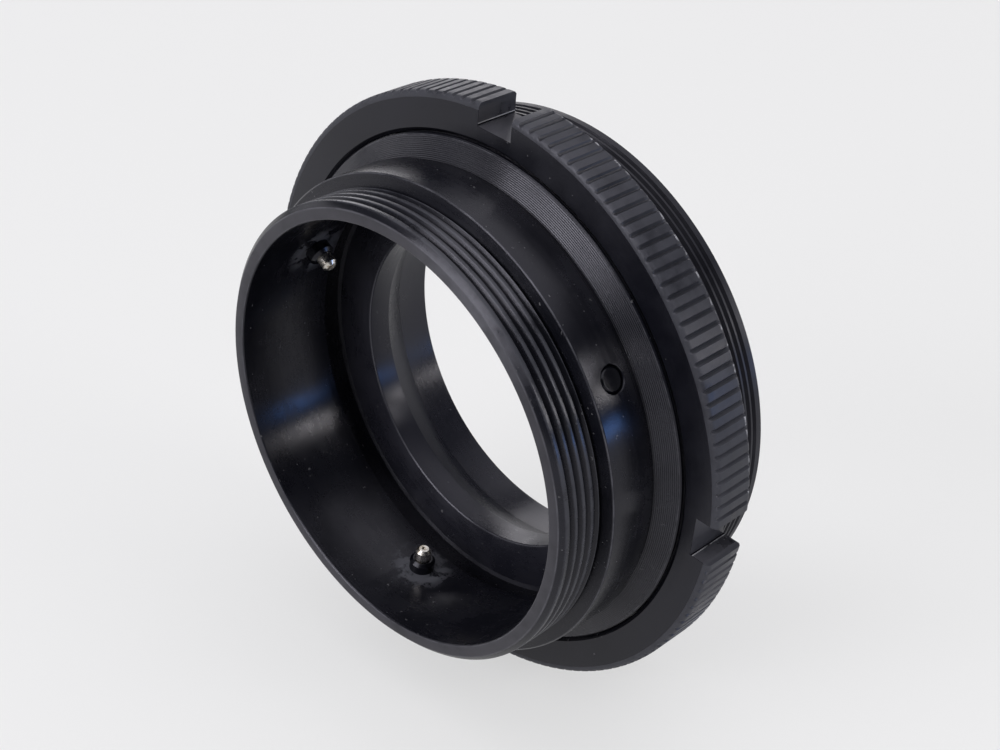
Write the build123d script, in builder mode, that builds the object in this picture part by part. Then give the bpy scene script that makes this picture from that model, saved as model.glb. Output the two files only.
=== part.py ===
"""Open metal body of a Barlow lens: threaded front sleeve, rear tube and knurled lock ring.

The optical axis is Y. The open front sleeve faces -Y and the rear thread faces +Y.
The origin is on the axis, where the rear thread starts, half way along the length.
"""
from build123d import *
import os
from math import cos, radians, sin

os.makedirs("parts", exist_ok=True)

# ---- overall ----
LENGTH = 23.3
FRONT = -LENGTH / 2
REAR = LENGTH / 2
EDGE = 0.15

# ---- thread form, as a share of the pitch ----
THREAD_LAND = 0.3
THREAD_ROOT = 0.07

# ---- front sleeve: bore, front thread, neck and spigot ----
BORE_BEVEL = 0.15
BORE_R = 21.05
BORE_END = FRONT + 10.6
FRONT_BEVEL_R = 0.55
FRONT_BEVEL_Y = 0.5
FRONT_THREAD_R = 22.8
FRONT_THREAD_START = FRONT + 0.88
FRONT_PITCH = 1.0
FRONT_GROOVES = 4
FRONT_GROOVE_DEPTH = 0.55
SHOULDER_Y = FRONT + 4.95
RELIEF_R = 22.15
RELIEF_WIDTH = 0.25
NECK_R = 24.1
NECK_END = FRONT + 10.4
NECK_STEP_Y = 0.4
SPIGOT_IN_R = 21.9
SPIGOT_OUT_R = 22.95
SPIGOT_END = FRONT + 13.05

# ---- rear barrel: conical flange and rear thread ----
FLANGE_IN_R = 23.85
FLANGE_R = 25.85
FLANGE_EDGE_Y = FRONT + 11.5
REAR_THREAD_R = 26.0
REAR_THREAD_START = FLANGE_EDGE_Y + 0.45
REAR_THREAD_BEVEL = 0.4
REAR_PITCH = 0.75
REAR_GROOVES = 14
REAR_GROOVE_DEPTH = 0.42
TUBE_SEAT_R = 21.4

# ---- inner tube: waist, flare and rear bore ----
WAIST_R = 16.75
WAIST_END = FRONT + 15.65
FLARE_R = 18.95
FLARE_END = FRONT + 19.15
REAR_BORE_R = 19.1
TUBE_BACK = 0.25

# ---- lock ring: knurled rim with four spanner notches ----
RING_FRONT = FRONT + 11.65
RING_WIDTH = 4.7
RING_R = 29.95
RING_BORE_R = 26.06
RING_BORE_BEVEL = 0.4
RING_FRONT_ROUND = 0.5
RING_BACK_BEVEL = 0.3
NOTCH_COUNT = 4
NOTCH_ANGLE = -6.1
NOTCH_WIDTH = 4.1
NOTCH_FLOOR_R = 27.7
KNURL_PER_QUARTER = 39
KNURL_SKIPPED = 2
KNURL_WIDTH = 0.5
KNURL_DEPTH = 0.3

# ---- spring plungers: a black sleeve and a bright nose, pointing at the axis ----
PLUNGER_Y = FRONT + 7.75
PLUNGER_ANGLES = {"a": 29.5, "b": 149.0, "c": 259.5}
HOLE_R = 1.3
HOLE_MOUTH = 0.1
SLEEVE_R = 1.3
SLEEVE_TOP = 23.98
SLEEVE_TIP = 19.8
SLEEVE_CHAMFER = 0.3
POCKET_R = 1.05
POCKET_TOP = 23.3
LIP_R = 0.85
LIP_THICK = 0.45
NOSE_R = 0.8
NOSE_SHOULDER_R = 1.0
NOSE_TIP = 18.5
NOSE_CHAMFER = 0.3
NOSE_SHOULDER = 0.8
DIMPLE_R = 0.22
DIMPLE_DEPTH = 0.15


def ridges(start, pitch, count, crest, depth):
    """Outline points of ring-shaped thread grooves, from the front backwards."""
    root = pitch * THREAD_ROOT
    flank = (pitch * (1 - THREAD_LAND) - root) / 2
    points = []
    for turn in range(count):
        y = start + turn * pitch
        points.append((crest, y))
        points.append((crest - depth, y + flank))
        points.append((crest - depth, y + flank + root))
        points.append((crest, y + 2 * flank + root))
    return points


def radial_plane(angle):
    """Plane with its origin on the axis and its normal along a plunger."""
    a = radians(angle)
    return Plane(origin=(0, PLUNGER_Y, 0), x_dir=(0, 1, 0), z_dir=(cos(a), 0, sin(a)))


# ---- front sleeve ----
sleeve_outline = [
    (BORE_R, FRONT + BORE_BEVEL),
    (BORE_R + BORE_BEVEL, FRONT),
    (FRONT_THREAD_R - FRONT_BEVEL_R, FRONT),
    (FRONT_THREAD_R, FRONT + FRONT_BEVEL_Y),
]
sleeve_outline += ridges(
    FRONT_THREAD_START, FRONT_PITCH, FRONT_GROOVES, FRONT_THREAD_R, FRONT_GROOVE_DEPTH
)
sleeve_outline += [
    (RELIEF_R, SHOULDER_Y - RELIEF_WIDTH),
    (RELIEF_R, SHOULDER_Y),
    (NECK_R - EDGE, SHOULDER_Y),
    (NECK_R, SHOULDER_Y + EDGE),
    (NECK_R, NECK_END - NECK_STEP_Y - EDGE),
    (FLANGE_IN_R, NECK_END - NECK_STEP_Y + EDGE),
    (FLANGE_IN_R, NECK_END),
    (SPIGOT_OUT_R, NECK_END),
    (SPIGOT_OUT_R, SPIGOT_END),
    (SPIGOT_IN_R, SPIGOT_END),
    (SPIGOT_IN_R, BORE_END),
    (BORE_R, BORE_END),
]
with BuildPart() as front_sleeve:
    with BuildSketch(Plane.XY):
        with BuildLine():
            Polyline(*sleeve_outline, close=True)
        make_face()
    revolve(axis=Axis.Y)
    for angle in PLUNGER_ANGLES.values():
        with BuildSketch(radial_plane(angle).offset(BORE_R - 2)):
            Circle(HOLE_R)
        extrude(amount=NECK_R - BORE_R + 4, mode=Mode.SUBTRACT)
        with BuildSketch(radial_plane(angle).offset(NECK_R - HOLE_MOUTH)):
            Circle(HOLE_R)
        extrude(amount=2 * HOLE_MOUTH, taper=-45, mode=Mode.SUBTRACT)
front_sleeve.part.label = "front_sleeve"
export_step(front_sleeve.part, "parts/front_sleeve.step")

# ---- rear barrel ----
barrel_outline = [
    (SPIGOT_OUT_R, NECK_END),
    (FLANGE_IN_R, NECK_END),
    (FLANGE_R, FLANGE_EDGE_Y),
    (REAR_THREAD_R, FLANGE_EDGE_Y + EDGE),
]
barrel_outline += ridges(
    REAR_THREAD_START, REAR_PITCH, REAR_GROOVES, REAR_THREAD_R, REAR_GROOVE_DEPTH
)
barrel_outline += [
    (REAR_THREAD_R, REAR - REAR_THREAD_BEVEL),
    (REAR_THREAD_R - REAR_THREAD_BEVEL, REAR),
    (TUBE_SEAT_R, REAR),
    (TUBE_SEAT_R, SPIGOT_END),
    (SPIGOT_OUT_R, SPIGOT_END),
]
with BuildPart() as rear_barrel:
    with BuildSketch(Plane.XY):
        with BuildLine():
            Polyline(*barrel_outline, close=True)
        make_face()
    revolve(axis=Axis.Y)
rear_barrel.part.label = "rear_barrel"
export_step(rear_barrel.part, "parts/rear_barrel.step")

# ---- inner tube ----
tube_outline = [
    (WAIST_R, SPIGOT_END + EDGE),
    (WAIST_R + EDGE, SPIGOT_END),
    (TUBE_SEAT_R, SPIGOT_END),
    (TUBE_SEAT_R, REAR - TUBE_BACK - EDGE),
    (TUBE_SEAT_R - EDGE, REAR - TUBE_BACK),
    (REAR_BORE_R + EDGE, REAR - TUBE_BACK),
    (REAR_BORE_R, REAR - TUBE_BACK - EDGE),
    (REAR_BORE_R, FLARE_END),
    (FLARE_R, FLARE_END),
    (WAIST_R, WAIST_END),
]
with BuildPart() as inner_tube:
    with BuildSketch(Plane.XY):
        with BuildLine():
            Polyline(*tube_outline, close=True)
        make_face()
    revolve(axis=Axis.Y)
inner_tube.part.label = "inner_tube"
export_step(inner_tube.part, "parts/inner_tube.step")

# ---- lock ring ----
ring_back = RING_FRONT + RING_WIDTH
ring_outline = [
    (RING_BORE_R + RING_BORE_BEVEL, RING_FRONT),
    (RING_R, RING_FRONT),
    (RING_R, ring_back - RING_BACK_BEVEL),
    (RING_R - RING_BACK_BEVEL, ring_back),
    (RING_BORE_R + RING_BORE_BEVEL, ring_back),
    (RING_BORE_R, ring_back - RING_BORE_BEVEL),
    (RING_BORE_R, RING_FRONT + RING_BORE_BEVEL),
]
knurl_step = 90 / KNURL_PER_QUARTER
with BuildPart() as lock_ring:
    with BuildSketch(Plane.XY):
        with BuildLine():
            Polyline(*ring_outline, close=True)
        make_face()
    revolve(axis=Axis.Y)
    circles = lock_ring.edges().filter_by(GeomType.CIRCLE)
    rims = circles.filter_by(lambda edge: abs(edge.radius - RING_R) < 0.01)
    fillet(rims.sort_by(Axis.Y)[0], RING_FRONT_ROUND)
    with BuildSketch(Plane.XZ.offset(-ring_back - 1)):
        for quarter in range(NOTCH_COUNT):
            start = NOTCH_ANGLE + 90 * quarter + (KNURL_SKIPPED + 0.5) * knurl_step
            grooves = KNURL_PER_QUARTER - 2 * KNURL_SKIPPED
            with PolarLocations(RING_R, grooves, start, (grooves - 1) * knurl_step, endpoint=True):
                Polygon(
                    (-KNURL_DEPTH, -KNURL_WIDTH * 0.22),
                    (0.2, -KNURL_WIDTH * 0.66),
                    (0.2, KNURL_WIDTH * 0.66),
                    (-KNURL_DEPTH, KNURL_WIDTH * 0.22),
                    align=None,
                )
        with PolarLocations(NOTCH_FLOOR_R + 2, NOTCH_COUNT, NOTCH_ANGLE):
            Rectangle(4, NOTCH_WIDTH)
    extrude(amount=RING_WIDTH + 2, mode=Mode.SUBTRACT)
lock_ring.part.label = "lock_ring"
export_step(lock_ring.part, "parts/lock_ring.step")

# ---- spring plungers ----
for name, angle in PLUNGER_ANGLES.items():
    plane = radial_plane(angle)
    with BuildPart() as plunger_sleeve:
        with BuildSketch(plane.offset(SLEEVE_TIP)):
            Circle(SLEEVE_R)
        extrude(amount=SLEEVE_TOP - SLEEVE_TIP)
        chamfer(plunger_sleeve.edges().filter_by(GeomType.CIRCLE), SLEEVE_CHAMFER)
        with BuildSketch(plane.offset(SLEEVE_TIP + LIP_THICK)):
            Circle(POCKET_R)
        extrude(amount=POCKET_TOP - SLEEVE_TIP - LIP_THICK, mode=Mode.SUBTRACT)
        with BuildSketch(plane.offset(SLEEVE_TIP - 0.5)):
            Circle(LIP_R)
        extrude(amount=LIP_THICK + 1, mode=Mode.SUBTRACT)
    plunger_sleeve.part.label = "plunger_sleeve_" + name
    export_step(plunger_sleeve.part, "parts/plunger_sleeve_" + name + ".step")

    with BuildPart() as plunger_nose:
        with BuildSketch(plane.offset(NOSE_TIP)):
            Circle(NOSE_R)
        extrude(amount=SLEEVE_TIP + LIP_THICK - NOSE_TIP + 0.1)
        circles = plunger_nose.edges().filter_by(GeomType.CIRCLE)
        tip = circles.sort_by(lambda edge: edge.center().dot(plane.z_dir))[0]
        chamfer(tip, NOSE_CHAMFER)
        with BuildSketch(plane.offset(NOSE_TIP)):
            Circle(DIMPLE_R)
        extrude(amount=DIMPLE_DEPTH, mode=Mode.SUBTRACT)
        with BuildSketch(plane.offset(SLEEVE_TIP + LIP_THICK + 0.02)):
            Circle(NOSE_SHOULDER_R)
        extrude(amount=NOSE_SHOULDER)
    plunger_nose.part.label = "plunger_nose_" + name
    export_step(plunger_nose.part, "parts/plunger_nose_" + name + ".step")
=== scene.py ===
"""Studio scene of an open Barlow lens body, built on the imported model."""

from math import atan2, cos, pi, radians, sin

import bpy
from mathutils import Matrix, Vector


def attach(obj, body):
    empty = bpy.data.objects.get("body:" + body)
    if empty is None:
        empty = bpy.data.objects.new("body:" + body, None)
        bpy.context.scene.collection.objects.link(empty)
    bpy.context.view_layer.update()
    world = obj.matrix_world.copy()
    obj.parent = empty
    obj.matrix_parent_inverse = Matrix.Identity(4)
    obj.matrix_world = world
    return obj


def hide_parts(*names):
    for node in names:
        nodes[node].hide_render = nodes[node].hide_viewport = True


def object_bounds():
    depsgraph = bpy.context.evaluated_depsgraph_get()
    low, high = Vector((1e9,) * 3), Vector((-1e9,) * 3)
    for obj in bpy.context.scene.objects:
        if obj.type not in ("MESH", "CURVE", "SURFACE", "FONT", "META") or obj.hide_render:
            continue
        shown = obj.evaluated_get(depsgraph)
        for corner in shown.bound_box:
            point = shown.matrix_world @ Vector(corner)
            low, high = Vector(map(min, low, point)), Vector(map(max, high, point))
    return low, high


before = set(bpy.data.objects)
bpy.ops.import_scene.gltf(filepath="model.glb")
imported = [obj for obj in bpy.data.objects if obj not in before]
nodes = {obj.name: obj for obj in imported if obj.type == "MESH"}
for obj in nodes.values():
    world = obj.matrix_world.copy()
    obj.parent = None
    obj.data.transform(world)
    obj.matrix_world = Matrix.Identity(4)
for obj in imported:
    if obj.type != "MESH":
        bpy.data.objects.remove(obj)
cad_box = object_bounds()

MM = 0.001
FLOOR_Z = cad_box[0].z
MIDDLE = (cad_box[0] + cad_box[1]) / 2

# ---------------------------------------------------------------- camera

CAMERA_AZIMUTH = radians(45)
CAMERA_RISE = radians(30)
CAMERA_DISTANCE = 155.1 * MM
CAMERA_SLIDE = 2.63 * MM
CAMERA_LIFT = 1.84 * MM
CAMERA_LENS = 57.6


def make_camera():
    """The camera stands in front and to the right, above the object."""
    a, e = CAMERA_AZIMUTH, CAMERA_RISE
    back = Vector((sin(a) * cos(e), -cos(a) * cos(e), sin(e)))
    right = Vector((cos(a), sin(a), 0))
    up = back.cross(right)
    data = bpy.data.cameras.new("camera")
    data.lens = CAMERA_LENS
    data.clip_start = 0.01
    data.clip_end = 20
    camera = bpy.data.objects.new("camera", data)
    bpy.context.scene.collection.objects.link(camera)
    camera.location = MIDDLE + back * CAMERA_DISTANCE + right * CAMERA_SLIDE + up * CAMERA_LIFT
    camera.rotation_mode = "QUATERNION"
    camera.rotation_quaternion = (-back).to_track_quat("-Z", "Y")
    bpy.context.scene.camera = camera


make_camera()

# ---------------------------------------------------------------- dimensions

FRONT = cad_box[0].y / MM
REAR = cad_box[1].y / MM
TURN_STEPS = 288
MERGE_WITHIN = 0.001 * MM
EDGE = 0.15
SEAT_GAP = 0.01
BROKEN_EDGE = 0.05
THREAD_ROOT = 0.07
THREAD_FLANK = 0.315

BORE_R = 21.05
BORE_END = FRONT + 10.6
FRONT_BEVEL_R = 0.55
FRONT_BEVEL_Y = 0.5
THREAD_R = 22.8
THREAD_START = FRONT + 0.88
THREAD_PITCH = 1.0
THREAD_TURNS = 4
THREAD_DEPTH = 0.55
SHOULDER = FRONT + 4.95
RELIEF_R = 22.15
RELIEF_WIDTH = 0.25
NECK_R = 24.1
NECK_END = FRONT + 10.4
NECK_BEVEL_START = 0.55
NECK_BEVEL_END = 0.25
SPIGOT_R = 22.95
SPIGOT_IN_R = 21.9
SPIGOT_END = FRONT + 13.05

FLANGE_IN_R = 23.85
FLANGE_R = 25.85
FLANGE_EDGE = FRONT + 11.5
CONE_START = (FLANGE_IN_R, NECK_END + SEAT_GAP)
CONE_MARKS = 13
CONE_MARK_DEPTH = 0.045
REAR_THREAD_R = 26.0
REAR_THREAD_BEVEL = 0.4
REAR_THREAD_START = FLANGE_EDGE + 0.45
REAR_PITCH = 0.75
REAR_TURNS = 14
REAR_DEPTH = 0.42
TUBE_SEAT_R = 21.4

WAIST_R = 16.75
WAIST_END = FRONT + 15.65
FLARE_R = 18.95
FLARE_END = FRONT + 19.15
REAR_BORE_R = 19.1
TUBE_END = REAR - 0.25

RING_FRONT = FRONT + 11.65
RING_BACK = RING_FRONT + 4.7
RING_R = 29.95
RING_BORE_R = 26.06
RING_BORE_BEVEL = 0.4
RING_ROUND = 0.5
RING_ROUND_STEPS = 7
RING_BACK_CORNER = ((0.0, 0.45), (0.08, 0.2), (0.3, 0.0))
NOTCH_ANGLE = radians(-6.1)
NOTCH_WIDTH = 4.1
NOTCH_FLOOR_R = 27.7
NOTCH_BLOCK_HEIGHT = 4
NOTCH_BLOCK_OVERHANG = 1
KNURLS = 156
KNURL_PITCH = 2 * pi / KNURLS
KNURL_DEPTH = 0.3
KNURL_STEPS = 10
KNURLS_SKIPPED = 2
GROOVE_SHARES = {0: 1.0, 1: 0.75, KNURL_STEPS - 1: 0.75}

PLUNGER_Y = FRONT + 7.75
PLUNGER_ANGLES = (radians(29.5), radians(149.0), radians(259.5))
HOLE_R = 1.3
HOLE_MOUTH = 0.1
DRILL_FLARE = 0.4
DRILL_SIDES = 48
DRILL_OVERLAP = 1

# ---------------------------------------------------------------- modelling helpers


def select_only(*pieces):
    """Selects these pieces alone, with the first one active."""
    bpy.ops.object.select_all(action="DESELECT")
    for piece in pieces:
        piece.select_set(True)
    bpy.context.view_layer.objects.active = pieces[0]


def vertex_start(name, radius, along):
    """A new piece in edit mode, with a single vertex at a radius and a place on the axis."""
    bpy.ops.object.select_all(action="DESELECT")
    bpy.ops.mesh.primitive_plane_add(size=0.1 * MM, location=(radius * MM, along * MM, 0))
    piece = bpy.context.object
    piece.name = name
    bpy.ops.object.transform_apply(location=True, rotation=True, scale=True)
    bpy.ops.object.mode_set(mode="EDIT")
    bpy.ops.mesh.select_mode(type="VERT")
    bpy.ops.mesh.select_all(action="SELECT")
    bpy.ops.mesh.merge(type="CENTER")
    return piece


def turn_piece(name, outline, steps=TURN_STEPS):
    """Draws a closed outline of (radius, along) points and turns it round the axis."""
    radius, along = outline[0]
    piece = vertex_start(name, radius, along)
    for next_radius, next_along in outline[1:] + outline[:1]:
        step = ((next_radius - radius) * MM, (next_along - along) * MM, 0)
        bpy.ops.mesh.extrude_region_move(TRANSFORM_OT_translate={"value": step})
        radius, along = next_radius, next_along
    bpy.ops.mesh.select_all(action="SELECT")
    bpy.ops.mesh.remove_doubles(threshold=MERGE_WITHIN)
    bpy.ops.object.mode_set(mode="OBJECT")
    lathe = piece.modifiers.new("lathe", "SCREW")
    lathe.axis = "Y"
    lathe.steps = lathe.render_steps = steps
    lathe.use_merge_vertices = True
    lathe.merge_threshold = MERGE_WITHIN
    apply_modifier(piece, lathe)
    bpy.ops.object.mode_set(mode="EDIT")
    bpy.ops.mesh.select_all(action="SELECT")
    bpy.ops.mesh.remove_doubles(threshold=MERGE_WITHIN)
    bpy.ops.mesh.normals_make_consistent(inside=False)
    bpy.ops.object.mode_set(mode="OBJECT")
    return piece


def apply_modifier(piece, modifier):
    select_only(piece)
    bpy.ops.object.modifier_apply(modifier=modifier.name)


def break_edges(piece, width, angle=28, segments=2):
    """Takes the sharpness off every corner, as a tool or a tumbler does."""
    bevel = piece.modifiers.new("broken_edges", "BEVEL")
    bevel.width = width * MM
    bevel.segments = segments
    bevel.limit_method = "ANGLE"
    bevel.angle_limit = radians(angle)
    apply_modifier(piece, bevel)


def cut(piece, cutter):
    """Takes the cutter's shape out of the piece and throws the cutter away."""
    boolean = piece.modifiers.new("cut", "BOOLEAN")
    boolean.operation = "DIFFERENCE"
    boolean.object = cutter
    boolean.solver = "EXACT"
    apply_modifier(piece, boolean)
    bpy.data.objects.remove(cutter, do_unlink=True)


def join(pieces):
    """Several separate shapes as one mesh."""
    select_only(*pieces)
    bpy.ops.object.join()
    return pieces[0]


def smooth(piece, angle=24):
    """Smooth shading, but not across corners sharper than the angle in degrees."""
    select_only(piece)
    bpy.ops.object.shade_smooth_by_angle(angle=radians(angle))


def thread_outline(start, pitch, turns, crest, depth):
    """Outline points of the thread's grooves, from the front backwards."""
    root = pitch * THREAD_ROOT
    flank = pitch * THREAD_FLANK
    points = []
    for turn in range(turns):
        y = start + turn * pitch
        points.append((crest, y))
        points.append((crest - depth, y + flank))
        points.append((crest - depth, y + flank + root))
        points.append((crest, y + 2 * flank + root))
    return points


def tool_marks(first, last, count, depth):
    """Outline points of a straight flank with fine grooves, each after a flat crest as wide."""
    run, rise = last[0] - first[0], last[1] - first[1]
    length = (run * run + rise * rise) ** 0.5
    points = [first]
    for i in range(count):
        for part, sunk in ((0.5, 0.0), (0.75, depth), (1.0, 0.0)):
            share = (i + part) / count
            radius = first[0] + run * share - rise / length * sunk
            points.append((radius, first[1] + rise * share + run / length * sunk))
    return points


def round_corner(centre_radius, centre_along, radius, start, end, count):
    """Outline points of a rounded corner, from one angle to the other in degrees."""
    points = []
    for i in range(count + 1):
        a = radians(start + (end - start) * i / count)
        points.append((centre_radius + radius * cos(a), centre_along + radius * sin(a)))
    return points


def finish_piece(piece, body, slot, *cad_nodes):
    """Puts the piece on its body, in place of the CAD nodes."""
    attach(piece, body)
    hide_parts(*cad_nodes)
    return piece


# ---------------------------------------------------------------- front sleeve


def make_front_sleeve():
    """Open bore, four turns of thread, shoulder, smooth neck and the spigot behind it."""
    outline = [
        (BORE_R, FRONT + EDGE),
        (BORE_R + EDGE, FRONT),
        (THREAD_R - FRONT_BEVEL_R, FRONT),
        (THREAD_R, FRONT + FRONT_BEVEL_Y),
    ]
    outline += thread_outline(THREAD_START, THREAD_PITCH, THREAD_TURNS, THREAD_R, THREAD_DEPTH)
    outline += [
        (RELIEF_R, SHOULDER - RELIEF_WIDTH),
        (RELIEF_R, SHOULDER),
        (NECK_R - EDGE, SHOULDER),
        (NECK_R, SHOULDER + EDGE),
        (NECK_R, NECK_END - NECK_BEVEL_START),
        (FLANGE_IN_R, NECK_END - NECK_BEVEL_END),
        (FLANGE_IN_R, NECK_END - SEAT_GAP),
        (SPIGOT_R - SEAT_GAP, NECK_END - SEAT_GAP),
        (SPIGOT_R - SEAT_GAP, SPIGOT_END),
        (SPIGOT_IN_R, SPIGOT_END),
        (SPIGOT_IN_R, BORE_END),
        (BORE_R, BORE_END),
    ]
    sleeve = turn_piece("sleeve", outline)
    break_edges(sleeve, BROKEN_EDGE)
    cut(sleeve, join([make_drill(angle) for angle in PLUNGER_ANGLES]))
    smooth(sleeve)
    return finish_piece(sleeve, "body", "sleeve_anodised", "front_sleeve")


def make_drill(angle):
    """A drill for one plunger hole: a round bar with a flared end outside the neck."""
    direction = Vector((cos(angle), 0, sin(angle)))
    near, far = BORE_R - DRILL_OVERLAP, NECK_R - HOLE_MOUTH
    bpy.ops.object.select_all(action="DESELECT")
    length = (far - near) * MM
    bpy.ops.mesh.primitive_cylinder_add(vertices=DRILL_SIDES, radius=HOLE_R * MM, depth=length)
    drill = bpy.context.object
    bpy.ops.object.mode_set(mode="EDIT")
    bpy.ops.mesh.select_all(action="DESELECT")
    bpy.ops.object.mode_set(mode="OBJECT")
    for face in drill.data.polygons:
        face.select = face.normal.z > 0.9
    bpy.ops.object.mode_set(mode="EDIT")
    bpy.ops.mesh.extrude_region_move(TRANSFORM_OT_translate={"value": (0, 0, DRILL_FLARE * MM)})
    flare = (HOLE_R + DRILL_FLARE) / HOLE_R
    bpy.ops.transform.resize(value=(flare, flare, 1))
    bpy.ops.object.mode_set(mode="OBJECT")
    drill.rotation_mode = "QUATERNION"
    drill.rotation_quaternion = direction.to_track_quat("Z", "Y")
    drill.location = direction * (near + far) / 2 * MM + Vector((0, PLUNGER_Y * MM, 0))
    bpy.ops.object.transform_apply(location=True, rotation=True, scale=True)
    return drill


# ---------------------------------------------------------------- rear barrel and tube


def make_rear_barrel():
    """Conical flange with tool marks in front, a long fine thread behind it."""
    outline = [(SPIGOT_R + SEAT_GAP, CONE_START[1])]
    outline += tool_marks(CONE_START, (FLANGE_R, FLANGE_EDGE), CONE_MARKS, CONE_MARK_DEPTH)
    outline.append((REAR_THREAD_R, FLANGE_EDGE + EDGE))
    outline += thread_outline(REAR_THREAD_START, REAR_PITCH, REAR_TURNS, REAR_THREAD_R, REAR_DEPTH)
    outline += [
        (REAR_THREAD_R, REAR - REAR_THREAD_BEVEL),
        (REAR_THREAD_R - REAR_THREAD_BEVEL, REAR),
        (TUBE_SEAT_R + SEAT_GAP, REAR),
        (TUBE_SEAT_R + SEAT_GAP, SPIGOT_END + SEAT_GAP),
        (SPIGOT_R + SEAT_GAP, SPIGOT_END + SEAT_GAP),
    ]
    barrel = turn_piece("barrel", outline)
    # The tool marks' floors are broken too, but their crests aren't, and all stay crisp.
    break_edges(barrel, 0.035, 84)
    smooth(barrel, 30)
    return finish_piece(barrel, "body", "barrel_anodised", "rear_barrel")


def make_inner_tube():
    """Waist, flare and rear bore."""
    outline = [
        (WAIST_R, SPIGOT_END + SEAT_GAP + EDGE),
        (WAIST_R + EDGE, SPIGOT_END + SEAT_GAP),
        (TUBE_SEAT_R - SEAT_GAP, SPIGOT_END + SEAT_GAP),
        (TUBE_SEAT_R - SEAT_GAP, TUBE_END - EDGE),
        (TUBE_SEAT_R - SEAT_GAP - EDGE, TUBE_END),
        (REAR_BORE_R + EDGE, TUBE_END),
        (REAR_BORE_R, TUBE_END - EDGE),
        (REAR_BORE_R, FLARE_END),
        (FLARE_R, FLARE_END),
        (WAIST_R, WAIST_END),
    ]
    tube = turn_piece("tube", outline)
    break_edges(tube, BROKEN_EDGE)
    smooth(tube)
    return finish_piece(tube, "body", "tube_anodised", "inner_tube")


# ---------------------------------------------------------------- lock ring


def make_lock_ring():
    """Rounded front edge, a rim of shallow grooves and four notches for a spanner."""
    outline = [(RING_BORE_R + RING_BORE_BEVEL, RING_FRONT)]
    corner = (RING_R - RING_ROUND, RING_FRONT + RING_ROUND)
    outline += round_corner(*corner, RING_ROUND, -90, 0, RING_ROUND_STEPS)
    outline += [(RING_R - inward, RING_BACK - forward) for inward, forward in RING_BACK_CORNER]
    outline += [
        (RING_BORE_R + RING_BORE_BEVEL, RING_BACK),
        (RING_BORE_R, RING_BACK - RING_BORE_BEVEL),
        (RING_BORE_R, RING_FRONT + RING_BORE_BEVEL),
    ]
    ring = turn_piece("ring", outline, KNURLS * KNURL_STEPS)
    press_grooves(ring)
    cut(ring, join([make_notch_block(NOTCH_ANGLE + quarter * pi / 2) for quarter in range(4)]))
    smooth(ring, 30)
    return finish_piece(ring, "lock_ring", "ring_anodised", "lock_ring")


def press_grooves(ring):
    """Brings the rim down to each groove's floor, and leaves it plain beside a notch."""
    first = NOTCH_ANGLE + (KNURLS_SKIPPED + 0.5) * KNURL_PITCH
    for vertex in ring.data.vertices:
        x, z = vertex.co.x, vertex.co.z
        radius = (x * x + z * z) ** 0.5
        angle = atan2(z, x)
        place = round((angle - first) / KNURL_PITCH * KNURL_STEPS)
        share = GROOVE_SHARES.get(place % KNURL_STEPS, 0.0)
        floor = (RING_R - KNURL_DEPTH * share) * MM
        if near_notch(angle) or radius <= floor:
            continue
        vertex.co.x *= floor / radius
        vertex.co.z *= floor / radius


def near_notch(angle):
    """True where the grooves beside a notch's middle are left out."""
    away = (angle - NOTCH_ANGLE + pi / 4) % (pi / 2) - pi / 4
    return abs(away) < (KNURLS_SKIPPED + 0.1) * KNURL_PITCH


def make_notch_block(angle):
    """A block that cuts one notch, right through the ring's width."""
    direction = Vector((cos(angle), 0, sin(angle)))
    width = RING_BACK - RING_FRONT + 2 * NOTCH_BLOCK_OVERHANG
    middle = Vector((0, (RING_FRONT + RING_BACK) / 2 * MM, 0))
    bpy.ops.object.select_all(action="DESELECT")
    bpy.ops.mesh.primitive_cube_add(
        size=1,
        location=direction * (NOTCH_FLOOR_R + NOTCH_BLOCK_HEIGHT / 2) * MM + middle,
        rotation=(0, -angle, 0),
        scale=(NOTCH_BLOCK_HEIGHT * MM, width * MM, NOTCH_WIDTH * MM),
    )
    block = bpy.context.object
    bpy.ops.object.transform_apply(location=True, rotation=True, scale=True)
    return block


sleeve = make_front_sleeve()
barrel = make_rear_barrel()
tube = make_inner_tube()
ring = make_lock_ring()

# ---------------------------------------------------------------- shader groups


def new_group(name, inputs, outputs):
    """A shader node group with named sockets: inputs are (name, kind, default)."""
    group = bpy.data.node_groups.new(name, "ShaderNodeTree")
    for label, kind, default in inputs:
        socket = group.interface.new_socket(label, in_out="INPUT", socket_type=kind)
        socket.default_value = default
    for label, kind in outputs:
        group.interface.new_socket(label, in_out="OUTPUT", socket_type=kind)
    return group, group.nodes.new("NodeGroupInput"), group.nodes.new("NodeGroupOutput")


def put(tree, value, socket):
    """Links a socket, or sets a plain value."""
    if isinstance(value, bpy.types.NodeSocket):
        tree.links.new(value, socket)
    else:
        socket.default_value = value


def maths(tree, kind, *values):
    node = tree.nodes.new("ShaderNodeMath")
    node.operation = kind
    for i, value in enumerate(values):
        put(tree, value, node.inputs[i])
    return node.outputs[0]


def ramp(tree, value, low, high, to_low=0.0, to_high=1.0):
    """Takes low..high to to_low..to_high, smoothly and no further."""
    node = tree.nodes.new("ShaderNodeMapRange")
    node.interpolation_type = "SMOOTHSTEP"
    for label, part in (
        ("Value", value),
        ("From Min", low),
        ("From Max", high),
        ("To Min", to_low),
        ("To Max", to_high),
    ):
        put(tree, part, node.inputs[label])
    return node.outputs[0]


def blend_colors(tree, factor, first, second):
    node = tree.nodes.new("ShaderNodeMix")
    node.data_type = "RGBA"
    put(tree, factor, node.inputs["Factor"])
    put(tree, first, node.inputs["A"])
    put(tree, second, node.inputs["B"])
    return node.outputs["Result"]


def object_place(tree):
    return tree.nodes.new("ShaderNodeTexCoord").outputs["Object"]


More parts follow.
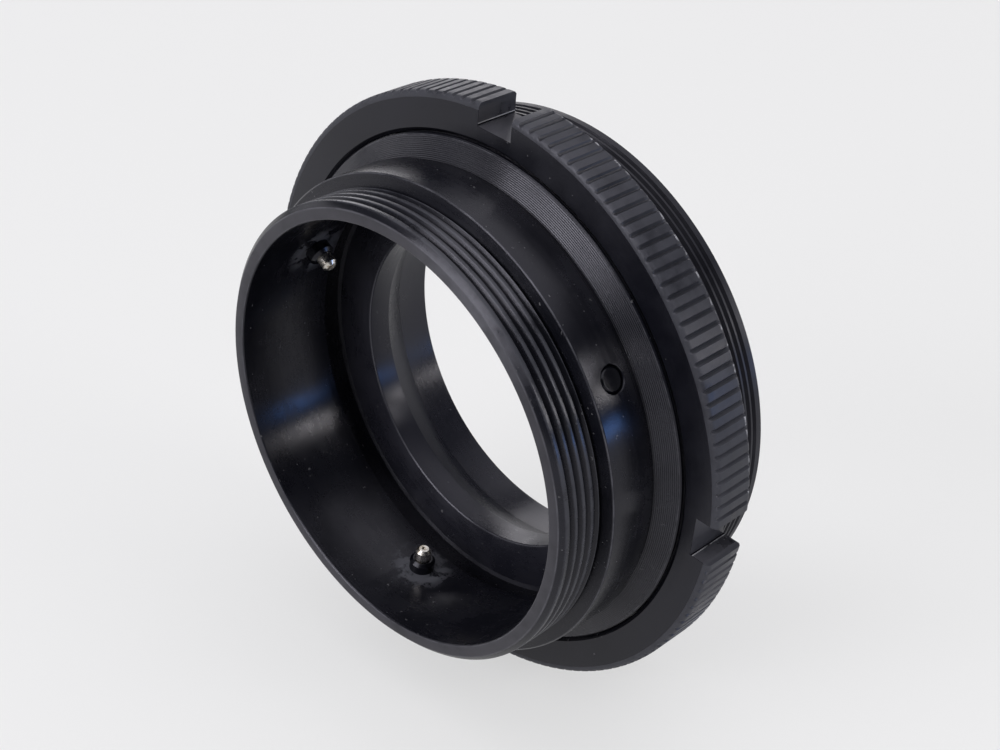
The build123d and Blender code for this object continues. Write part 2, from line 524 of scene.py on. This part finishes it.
def lathe_place(tree):
    """Radius from the optical axis and place along it, in metres."""
    split = tree.nodes.new("ShaderNodeSeparateXYZ")
    tree.links.new(object_place(tree), split.inputs[0])
    x, z = split.outputs["X"], split.outputs["Z"]
    squares = maths(tree, "MULTIPLY_ADD", z, z, maths(tree, "MULTIPLY", x, x))
    return maths(tree, "SQRT", squares), split.outputs["Y"]


def noise(tree, vector, scale, detail=3.0, rough=0.5):
    node = tree.nodes.new("ShaderNodeTexNoise")
    put(tree, vector, node.inputs["Vector"])
    put(tree, scale, node.inputs["Scale"])
    node.inputs["Detail"].default_value = detail
    node.inputs["Roughness"].default_value = rough
    return node.outputs["Fac"]


def make_turning_marks():
    """Fine rings left by the lathe tool: a height, and a slow change from ring to ring."""
    group, given, result = new_group(
        "turning_marks",
        [("Feed", "NodeSocketFloat", 0.0002), ("Waver", "NodeSocketFloat", 0.3)],
        [("Height", "NodeSocketFloat"), ("Band", "NodeSocketFloat")],
    )
    radius, along = lathe_place(group)
    travel = maths(group, "ADD", radius, along)
    turns = maths(group, "DIVIDE", travel, given.outputs["Feed"])
    drift = maths(group, "SUBTRACT", noise(group, object_place(group), 90.0, 2.0), 0.5)
    turns = maths(group, "MULTIPLY_ADD", drift, given.outputs["Waver"], turns)
    ring = group.nodes.new("ShaderNodeCombineXYZ")
    group.links.new(turns, ring.inputs["X"])
    wave = maths(group, "SINE", maths(group, "MULTIPLY", turns, 2 * pi))
    fine = noise(group, ring.outputs[0], 2.3, 2.0, 0.7)
    height = maths(group, "MULTIPLY_ADD", wave, 0.25, fine)
    group.links.new(height, result.inputs["Height"])
    group.links.new(noise(group, ring.outputs[0], 0.21, 3.0, 0.6), result.inputs["Band"])
    return group


def make_anodised_skin():
    """Anodised skin: a cloudy tint and gloss, a fine grain, and dust."""
    group, given, result = new_group(
        "anodised_skin",
        [
            ("Dark", "NodeSocketColor", (0.010, 0.011, 0.014, 1)),
            ("Light", "NodeSocketColor", (0.024, 0.024, 0.030, 1)),
            ("Rough", "NodeSocketFloat", 0.35),
            ("Dust", "NodeSocketFloat", 0.3),
        ],
        [
            ("Color", "NodeSocketColor"),
            ("Rough", "NodeSocketFloat"),
            ("Height", "NodeSocketFloat"),
        ],
    )
    place = object_place(group)
    cloud = ramp(group, noise(group, place, 150.0, 4.0, 0.6), 0.32, 0.68)
    grain = noise(group, place, 7000.0, 2.0, 0.6)
    tint = maths(group, "MULTIPLY_ADD", grain, 0.45, maths(group, "MULTIPLY", cloud, 0.5))
    color = blend_colors(group, tint, given.outputs["Dark"], given.outputs["Light"])
    specks = ramp(group, noise(group, place, 2300.0, 1.0, 0.5), 0.735, 0.765)
    patches = ramp(group, noise(group, place, 210.0, 2.0, 0.5), 0.42, 0.62)
    dust = maths(group, "MULTIPLY", maths(group, "MULTIPLY", specks, patches), given.outputs["Dust"])
    color = blend_colors(group, dust, color, (0.34, 0.34, 0.35, 1))
    rough = maths(group, "MULTIPLY_ADD", cloud, 0.10, given.outputs["Rough"])
    rough = maths(group, "MULTIPLY_ADD", grain, 0.08, rough)
    rough = maths(group, "MULTIPLY_ADD", dust, 0.4, rough)
    group.links.new(color, result.inputs["Color"])
    group.links.new(rough, result.inputs["Rough"])
    group.links.new(grain, result.inputs["Height"])
    return group


def make_worn_edge():
    """Rubbed line at one turned edge, given by its radius and place: 1 on the edge."""
    group, given, result = new_group(
        "worn_edge",
        [
            ("Radius", "NodeSocketFloat", 0.02),
            ("Along", "NodeSocketFloat", 0.0),
            ("Width", "NodeSocketFloat", 0.0001),
            ("Patchy", "NodeSocketFloat", 0.5),
        ],
        [("Mask", "NodeSocketFloat")],
    )
    radius, along = lathe_place(group)
    away = maths(group, "SUBTRACT", radius, given.outputs["Radius"])
    off = maths(group, "SUBTRACT", along, given.outputs["Along"])
    squares = maths(group, "MULTIPLY_ADD", off, off, maths(group, "MULTIPLY", away, away))
    near = maths(group, "DIVIDE", maths(group, "SQRT", squares), given.outputs["Width"])
    line = ramp(group, near, 0.35, 1.0, 1.0, 0.0)
    rubbed = ramp(group, noise(group, object_place(group), 420.0, 4.0, 0.7), 0.40, 0.60)
    keep = maths(group, "SUBTRACT", 1.0, given.outputs["Patchy"])
    share = maths(group, "MULTIPLY_ADD", rubbed, given.outputs["Patchy"], keep)
    group.links.new(maths(group, "MULTIPLY", line, share), result.inputs["Mask"])
    return group


turning_marks = make_turning_marks()
anodised_skin = make_anodised_skin()
worn_edge = make_worn_edge()

# ---------------------------------------------------------------- finishes


class Finish:
    """A material under construction, with its tree and its shader."""

    def __init__(self, name):
        self.material = bpy.data.materials.new(name)
        self.material.use_nodes = True
        self.tree = self.material.node_tree
        self.shader = self.tree.nodes["Principled BSDF"]

    def use(self, group, **values):
        node = self.tree.nodes.new("ShaderNodeGroup")
        node.node_tree = group
        for label, value in values.items():
            put(self.tree, value, node.inputs[label])
        return node.outputs

    def bump(self, height, depth, under=None):
        node = self.tree.nodes.new("ShaderNodeBump")
        node.inputs["Strength"].default_value = 1.0
        node.inputs["Distance"].default_value = depth * MM
        self.tree.links.new(height, node.inputs["Height"])
        if under is not None:
            self.tree.links.new(under, node.inputs["Normal"])
        return node.outputs["Normal"]

    def close(self, color, rough, normal):
        put(self.tree, color, self.shader.inputs["Base Color"])
        put(self.tree, rough, self.shader.inputs["Roughness"])
        put(self.tree, normal, self.shader.inputs["Normal"])
        return self.material


def anodised(name, dark, light, rough, feed, depth, dust, edges=(), zones=()):
    """Black anodised aluminium with lathe marks, dust, rubbed edges, handled zones and a painted highlight.

    The gloss is wider across the lathe marks than along them. An edge is a radius, a
    place along the axis, a width and how broken it is. A zone is the mask of a place, the
    color that the skin takes there and the roughness that it gains.
    """
    finish = Finish(name)
    tree = finish.tree
    skin = finish.use(anodised_skin, Dark=dark, Light=light, Rough=rough, Dust=dust)
    marks = finish.use(turning_marks, Feed=feed * MM, Waver=0.5)
    color = skin["Color"]
    roughness = maths(tree, "MULTIPLY_ADD", maths(tree, "SUBTRACT", marks["Band"], 0.5), 0.14, skin["Rough"])
    for zone, zone_color, more_rough in zones:
        mask = zone(tree)
        color = blend_colors(tree, mask, color, zone_color)
        roughness = maths(tree, "MULTIPLY_ADD", mask, more_rough, roughness)
    for radius, along, width, patchy in edges:
        mask = finish.use(worn_edge, Radius=radius * MM, Along=along * MM, Width=width * MM, Patchy=patchy)
        color = blend_colors(tree, mask["Mask"], color, WORN_AND_HIGHLIGHT)
    normal = finish.bump(marks["Height"], depth)
    normal = finish.bump(skin["Height"], 0.003, normal)
    around = tree.nodes.new("ShaderNodeTangent")
    around.direction_type = "RADIAL"
    around.axis = "Y"
    tree.links.new(around.outputs["Tangent"], finish.shader.inputs["Tangent"])
    finish.shader.inputs["IOR"].default_value = 1.45
    finish.shader.inputs["Specular Tint"].default_value = (0.90, 0.89, 1.0, 1)
    finish.shader.inputs["Anisotropic"].default_value = 0.8
    finish.shader.inputs["Anisotropic Rotation"].default_value = 0.25
    return finish.close(color, roughness, normal)


def patchy(tree, mask, scale, low, high):
    """The mask, broken up by noise."""
    spots = ramp(tree, noise(tree, object_place(tree), scale, 4.0, 0.65), low, high)
    return overlap(tree, mask, spots)


def overlap(tree, first, second):
    return maths(tree, "MULTIPLY", first, second)


def rise(tree, value, start, end):
    """0 up to the start and 1 past the end, both in millimetres."""
    return ramp(tree, value, start * MM, end * MM)


def fall(tree, value, start, end):
    """1 up to the start and 0 past the end, both in millimetres."""
    return ramp(tree, value, start * MM, end * MM, 1.0, 0.0)


def front_rim(tree):
    """The front end face."""
    along = lathe_place(tree)[1]
    return patchy(tree, fall(tree, along, FRONT + 0.03, FRONT + 0.10), 260.0, 0.15, 0.60)


def front_bevel_painted_highlight(tree):
    """A painted highlight: a stretch of the front bevel painted pale, at the turn where the front window is
    reflected.
    """
    split = tree.nodes.new("ShaderNodeSeparateXYZ")
    tree.links.new(object_place(tree), split.inputs[0])
    turn = maths(tree, "ARCTAN2", split.outputs["Z"], split.outputs["X"])
    start = ramp(tree, turn, radians(28), radians(52))
    stop = ramp(tree, turn, radians(54), radians(84), 1.0, 0.0)
    bevel = fall(tree, split.outputs["Y"], FRONT + 0.6, FRONT + 1.1)
    return patchy(tree, overlap(tree, overlap(tree, start, stop), bevel), 300.0, 0.25, 0.62)


def thread_crests(tree):
    """The tops of the front thread."""
    radius, along = lathe_place(tree)
    top = rise(tree, radius, THREAD_R - 0.14, THREAD_R - 0.03)
    ahead = fall(tree, along, SHOULDER - 0.3, SHOULDER - 0.2)
    return patchy(tree, overlap(tree, top, ahead), 300.0, 0.20, 0.65)


def around_plungers(tree):
    """The bore is smeared and chipped round each plunger."""
    inside = fall(tree, lathe_place(tree)[0], BORE_R + 0.1, BORE_R + 0.3)
    total = None
    for angle in PLUNGER_ANGLES:
        away = tree.nodes.new("ShaderNodeVectorMath")
        away.operation = "DISTANCE"
        tree.links.new(object_place(tree), away.inputs[0])
        away.inputs[1].default_value = (BORE_R * cos(angle) * MM, PLUNGER_Y * MM, BORE_R * sin(angle) * MM)
        near = fall(tree, away.outputs["Value"], 1.9, 3.8)
        total = near if total is None else maths(tree, "ADD", total, near)
    return patchy(tree, overlap(tree, total, inside), 520.0, 0.46, 0.56)


def cone_crests(tree):
    """The flat crests left between the tool marks on the cone."""
    radius, along = lathe_place(tree)
    pitch = (FLANGE_EDGE - CONE_START[1]) / CONE_MARKS * MM
    turns = maths(tree, "DIVIDE", maths(tree, "SUBTRACT", along, CONE_START[1] * MM), pitch)
    part = maths(tree, "FRACT", turns)
    crest = overlap(tree, ramp(tree, part, 0.0, 0.12), ramp(tree, part, 0.40, 0.52, 1.0, 0.0))
    cone = fall(tree, along, FLANGE_EDGE - 0.05, FLANGE_EDGE)
    outside = rise(tree, radius, FLANGE_IN_R - 0.1, FLANGE_IN_R)
    return patchy(tree, overlap(tree, crest, overlap(tree, cone, outside)), 200.0, 0.10, 0.55)


def rear_threads(tree):
    """The rear thread, duller than the cone in front of it."""
    behind = rise(tree, lathe_place(tree)[1], FLANGE_EDGE + 0.3, FLANGE_EDGE + 0.45)
    return patchy(tree, behind, 240.0, 0.05, 0.60)


def ring_rim(tree):
    """The knurled rim and its rounded edge, dull from handling."""
    rim = rise(tree, lathe_place(tree)[0], RING_R - 0.70, RING_R - 0.60)
    return patchy(tree, rim, 380.0, 0.05, 0.62)


def behind_ring_face(tree, along):
    """All of the ring but its front face."""
    return rise(tree, along, RING_FRONT + 0.02, RING_FRONT + 0.06)


def notch_floors(tree):
    """The milled floor of each notch and the foot of its walls."""
    radius, along = lathe_place(tree)
    low = rise(tree, radius, NOTCH_FLOOR_R - 0.10, NOTCH_FLOOR_R - 0.04)
    high = fall(tree, radius, NOTCH_FLOOR_R + 0.09, NOTCH_FLOOR_R + 0.13)
    inner = behind_ring_face(tree, along)
    outer = fall(tree, along, RING_BACK - 0.06, RING_BACK - 0.02)
    inside = overlap(tree, inner, outer)
    return patchy(tree, overlap(tree, overlap(tree, low, high), inside), 300.0, 0.10, 0.60)


def notch_walls(tree):
    """The milled side walls of each notch, as far up as the grooves' floors."""
    radius, along = lathe_place(tree)
    low = rise(tree, radius, NOTCH_FLOOR_R + 0.38, NOTCH_FLOOR_R + 0.44)
    high = fall(tree, radius, RING_R - 0.38, RING_R - 0.34)
    band = overlap(tree, low, high)
    return patchy(tree, overlap(tree, band, behind_ring_face(tree, along)), 300.0, 0.10, 0.60)


def notch_steps(tree):
    """A thin bright line just above the foot of each notch's walls."""
    radius, along = lathe_place(tree)
    low = rise(tree, radius, NOTCH_FLOOR_R + 0.26, NOTCH_FLOOR_R + 0.30)
    high = fall(tree, radius, NOTCH_FLOOR_R + 0.36, NOTCH_FLOOR_R + 0.40)
    band = overlap(tree, low, high)
    return patchy(tree, overlap(tree, band, behind_ring_face(tree, along)), 500.0, 0.25, 0.55)


def rim_corner(tree):
    """Bare specks along the back corner of the rim."""
    radius, along = lathe_place(tree)
    top = rise(tree, radius, RING_R - 0.12, RING_R - 0.06)
    back = rise(tree, along, RING_BACK - 0.50, RING_BACK - 0.42)
    return patchy(tree, overlap(tree, top, back), 700.0, 0.50, 0.64)


def polished_steel(name):
    """Bright pin with a fine grain and a warm stain here and there."""
    finish = Finish(name)
    tree = finish.tree
    place = object_place(tree)
    stain = ramp(tree, noise(tree, place, 1500.0, 3.0, 0.6), 0.45, 0.7)
    color = blend_colors(tree, stain, (0.72, 0.69, 0.64, 1), (0.36, 0.29, 0.20, 1))
    rough = ramp(tree, noise(tree, place, 4200.0, 3.0, 0.7), 0.3, 0.7, 0.16, 0.36)
    normal = finish.bump(noise(tree, place, 6500.0, 2.0, 0.6), 0.006)
    finish.shader.inputs["Metallic"].default_value = 1.0
    return finish.close(color, rough, normal)


# Colors of the skin, from the deepest black to bare metal.
INK = (0.0022, 0.0024, 0.0040, 1)
SOOT = (0.0070, 0.0072, 0.0110, 1)
SLATE = (0.016, 0.016, 0.022, 1)
MATT = (0.020, 0.020, 0.025, 1)
RUBBED = (0.034, 0.033, 0.039, 1)
CREST = (0.036, 0.036, 0.042, 1)
DULL = (0.040, 0.041, 0.049, 1)
MILLED = (0.052, 0.052, 0.060, 1)
# Colour of rubbed edges, and also of the painted highlight on the front bevel.
WORN_AND_HIGHLIGHT = (0.070, 0.070, 0.080, 1)
SMEAR = (0.085, 0.087, 0.100, 1)
BARE = (0.40, 0.40, 0.42, 1)

SLEEVE_EDGES = [
    (THREAD_R - FRONT_BEVEL_R, FRONT, 0.10, 0.7),
    (BORE_R + 0.12, FRONT, 0.08, 0.8),
    (NECK_R - 0.05, SHOULDER + 0.05, 0.10, 0.6),
    (SPIGOT_IN_R, SPIGOT_END, 0.08, 0.4),
]
SLEEVE_ZONES = [
    (front_rim, RUBBED, 0.16),
    # Painted highlight: the pale stretch of the front bevel stands in for the front window's reflection.
    (front_bevel_painted_highlight, WORN_AND_HIGHLIGHT, 0.12),
    (thread_crests, DULL, 0.05),
    (around_plungers, SMEAR, 0.2),
]
BARREL_EDGES = [
    (FLANGE_R, FLANGE_EDGE, 0.08, 0.6),
    (REAR_THREAD_R - REAR_THREAD_BEVEL / 2, REAR - REAR_THREAD_BEVEL / 2, 0.2, 0.8),
]
BARREL_ZONES = [
    (cone_crests, CREST, 0.0),
    (rear_threads, MATT, 0.18),
]
TUBE_EDGES = [
    (WAIST_R + 0.05, SPIGOT_END + 0.05, 0.10, 0.4),
]
RING_ZONES = [
    (ring_rim, DULL, 0.26),
    (notch_floors, MILLED, 0.25),
    (notch_walls, MILLED, 0.2),
    (notch_steps, BARE, 0.2),
    (rim_corner, BARE, 0.1),
]

SLEEVE = anodised("sleeve_anodised", INK, SOOT, 0.17, 0.15, 0.003, 0.25, SLEEVE_EDGES, SLEEVE_ZONES)
BARREL = anodised("barrel_anodised", INK, SOOT, 0.15, 0.17, 0.003, 0.2, BARREL_EDGES, BARREL_ZONES)
TUBE = anodised("tube_anodised", SOOT, SLATE, 0.20, 0.15, 0.004, 0.2, TUBE_EDGES)
RING = anodised("ring_anodised", INK, SOOT, 0.11, 0.12, 0.002, 0.25, (), RING_ZONES)
OXIDE = anodised("black_oxide", INK, INK, 0.12, 0.10, 0.001, 0.0)
PIN = polished_steel("polished_steel")

for piece, finish in (
    (sleeve, SLEEVE),
    (barrel, BARREL),
    (tube, TUBE),
    (ring, RING),
):
    piece.data.materials.append(finish)
for name, node in nodes.items():
    if name.startswith("plunger"):
        for slot in node.material_slots:
            slot.material = OXIDE if name.startswith("plunger_sleeve") else PIN

# ---------------------------------------------------------------- floor and light


FLOOR_GLOW_SEEN = 0.55
FLOOR_GLOW_ON_OBJECT = 0.36
ROOM_COLOR = (0.85, 0.88, 1.0, 1)
ROOM_GLOW = 0.10


def make_floor():
    """A pale table under the object, which glows more to the camera than onto the object."""
    bpy.ops.object.select_all(action="DESELECT")
    bpy.ops.mesh.primitive_plane_add(size=6, location=(0, 0, FLOOR_Z))
    floor = bpy.context.object
    floor.name = "floor"
    finish = Finish("pale_floor")
    shader = finish.shader
    shader.inputs["Base Color"].default_value = (0.30, 0.30, 0.30, 1)
    shader.inputs["Roughness"].default_value = 0.9
    shader.inputs["Specular IOR Level"].default_value = 0.0
    shader.inputs["Emission Color"].default_value = (1.0, 1.0, 1.0, 1)
    seen = finish.tree.nodes.new("ShaderNodeLightPath").outputs["Is Camera Ray"]
    glow = ramp(finish.tree, seen, 0.0, 1.0, FLOOR_GLOW_ON_OBJECT, FLOOR_GLOW_SEEN)
    finish.tree.links.new(glow, shader.inputs["Emission Strength"])
    floor.data.materials.append(finish.material)


def softbox(name, azimuth, rise, distance, width, height, radiance, color):
    """A softbox that faces the object from a direction in degrees, azimuth from +X to +Y.

    Its distance, width and height are in metres. Its radiance is how bright its face is.
    """
    a, e = radians(azimuth), radians(rise)
    toward = Vector((cos(a) * cos(e), sin(a) * cos(e), sin(e)))
    data = bpy.data.lights.new(name, "AREA")
    data.shape = "RECTANGLE"
    data.size = width
    data.size_y = height
    data.energy = radiance * pi * width * height
    data.color = color
    light = bpy.data.objects.new(name, data)
    bpy.context.scene.collection.objects.link(light)
    light.visible_camera = False
    light.location = MIDDLE + toward * distance
    light.rotation_mode = "QUATERNION"
    light.rotation_quaternion = toward.to_track_quat("Z", "Y")


make_floor()

# name, azimuth, rise, distance, width, height, radiance, color
softbox("ceiling", 60, 88, 1.3, 2.4, 2.4, 1.0, (0.98, 0.97, 1.0))
softbox("front_window", -101, 25, 0.9, 0.60, 0.48, 6.0, (0.98, 0.97, 1.0))
softbox("side_window", 14, 26, 0.8, 0.32, 0.14, 9.0, (1.0, 0.98, 0.95))
softbox("rear_window", 41, 11, 0.8, 0.22, 0.06, 15.0, (1.0, 0.97, 0.92))
softbox("blue_window", 29, 0, 0.8, 0.34, 0.10, 5.5, (0.20, 0.43, 1.0))
softbox("back_wall", 141, 18, 1.0, 0.70, 0.42, 2.5, (1.0, 0.98, 1.0))
softbox("left_wall", 205, 11, 1.2, 1.20, 0.34, 0.8, (0.98, 0.97, 1.0))

world = bpy.data.worlds.new("room")
bpy.context.scene.world = world
world.use_nodes = True
background = world.node_tree.nodes["Background"]
background.inputs["Color"].default_value = ROOM_COLOR
background.inputs["Strength"].default_value = ROOM_GLOW
bpy.context.scene.view_settings.view_transform = "Standard"
